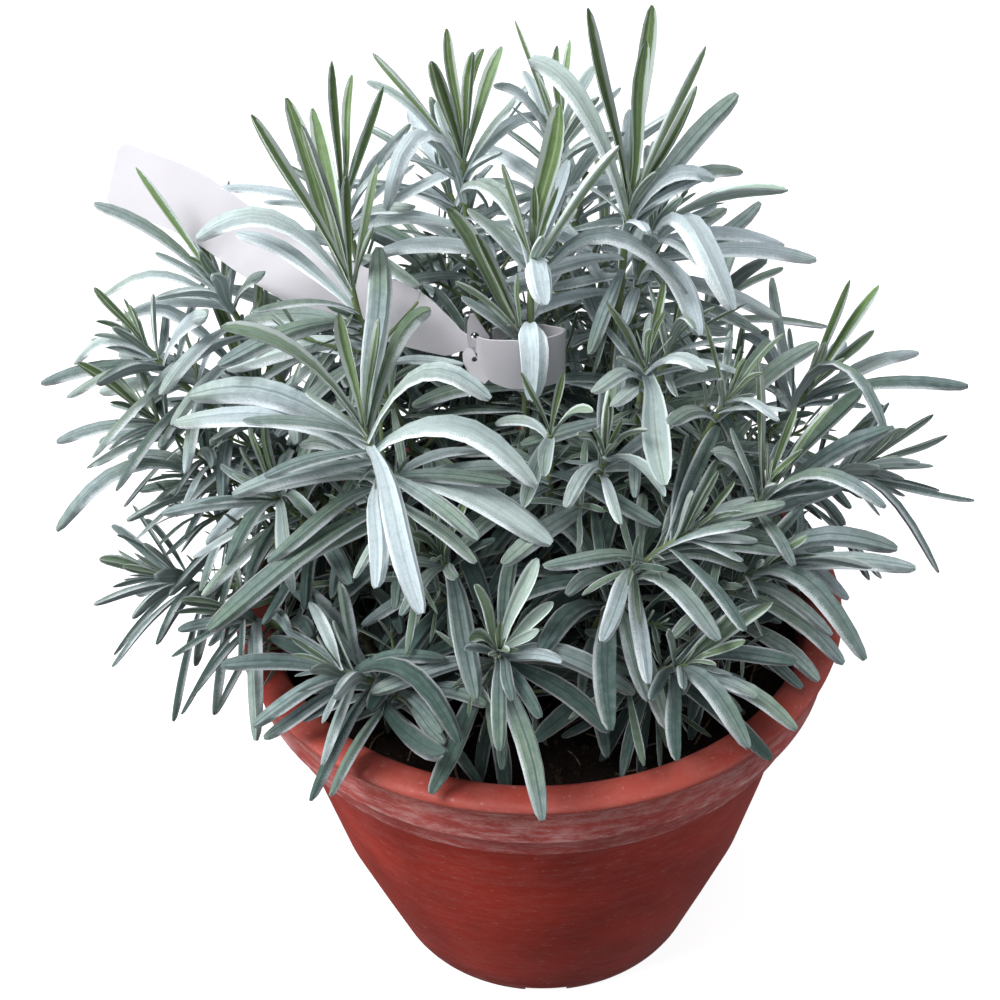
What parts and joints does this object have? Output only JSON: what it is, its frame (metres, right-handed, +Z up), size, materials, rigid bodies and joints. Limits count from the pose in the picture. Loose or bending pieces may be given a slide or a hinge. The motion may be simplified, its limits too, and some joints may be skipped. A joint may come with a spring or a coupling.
{
  "type": "potted lavender",
  "caption": "Young silver-leaved lavender, bushy with narrow felted leaves, growing in dark compost in a terracotta-coloured bell pot, with a blank loop-lock plant label.",
  "frame": {"origin": "middle of the pot's flat foot, on the surface that the pot stands on", "axes": "+Z up along the pot's axis, -Y to the front, which the picture shows, +X to the right of that view"},
  "size_m": [0.3649, 0.32, 0.425],
  "materials": {
    "pot": "satin",
    "compost": "matte",
    "label": "satin",
    "leaf": "matte"
  },
  "bodies": {
    "root": {"pot": "pot", "compost": "compost", "plant_label": "label", "leafy_stem_01": "leaf", "leafy_stem_02": "leaf", "leafy_stem_03": "leaf", "leafy_stem_04": "leaf", "leafy_stem_05": "leaf", "leafy_stem_06": "leaf", "leafy_stem_07": "leaf", "leafy_stem_08": "leaf", "leafy_stem_09": "leaf", "leafy_stem_10": "leaf", "leafy_stem_11": "leaf", "leafy_stem_12": "leaf", "leafy_stem_13": "leaf", "leafy_stem_14": "leaf", "leafy_stem_15": "leaf", "leafy_stem_16": "leaf", "leafy_stem_17": "leaf", "leafy_stem_18": "leaf", "leafy_stem_19": "leaf", "leafy_stem_20": "leaf", "leafy_stem_21": "leaf", "leafy_stem_22": "leaf", "leafy_stem_23": "leaf", "leafy_stem_24": "leaf", "leafy_stem_25": "leaf", "leafy_stem_26": "leaf", "leafy_stem_27": "leaf", "leafy_stem_28": "leaf", "leafy_stem_29": "leaf", "leafy_stem_30": "leaf", "leafy_stem_31": "leaf", "leafy_stem_32": "leaf", "leafy_stem_33": "leaf", "leafy_stem_34": "leaf", "leafy_stem_35": "leaf", "leafy_stem_36": "leaf", "leafy_stem_37": "leaf", "leafy_stem_38": "leaf", "leafy_stem_39": "leaf", "leafy_stem_40": "leaf", "leafy_stem_41": "leaf", "leafy_stem_42": "leaf", "leafy_stem_43": "leaf"}
  },
  "joints": []
}
